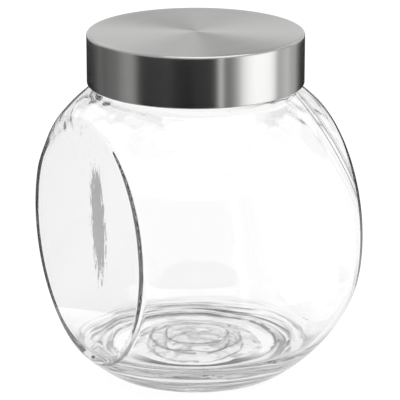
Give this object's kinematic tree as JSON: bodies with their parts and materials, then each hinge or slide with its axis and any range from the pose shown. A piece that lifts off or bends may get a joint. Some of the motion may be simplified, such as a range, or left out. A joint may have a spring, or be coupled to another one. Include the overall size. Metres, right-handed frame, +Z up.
{
  "type": "glass storage jar",
  "caption": "Clear glass storage jar with a ball-shaped body, two flat sides and a wide mouth, closed by a brushed steel screw lid with a plastic thread insert and a flat seal.",
  "frame": {"origin": "on the jar's axis, at the height of the surface it stands on", "axes": "+Z up along the jar's axis, +X out of one flat side, +Y along the wide direction of the body"},
  "size_m": [0.12, 0.1714, 0.1704],
  "materials": {
    "clear_glass": "clear soda-lime glass, fire-polished",
    "brushed_steel": "brushed stainless steel: round the wall, and in circles on the top",
    "white_plastic": "moulded polypropylene, satin",
    "seal": "soft translucent white seal, matte"
  },
  "bodies": {
    "jar": {"glass_jar": "clear_glass"},
    "seal": {"seal_ring": "seal"},
    "lid": {"lid_shell": "brushed_steel", "thread_insert": "white_plastic"}
  },
  "joints": [
    {"name": "lid_lift", "type": "slide", "parent": "jar", "child": "seal", "axis": [0, 0, 1], "range_m": [0, 0.024]},
    {"name": "lid_turn", "type": "hinge", "parent": "seal", "child": "lid", "pos_m": [0, 0, 0.1684], "axis": [0, 0, 1], "range_deg": [0, 432]}
  ],
  "couplings": [
    {"joint": "lid_lift", "follows": "lid_turn", "m_per_rad": 0.0031831}
  ]
}
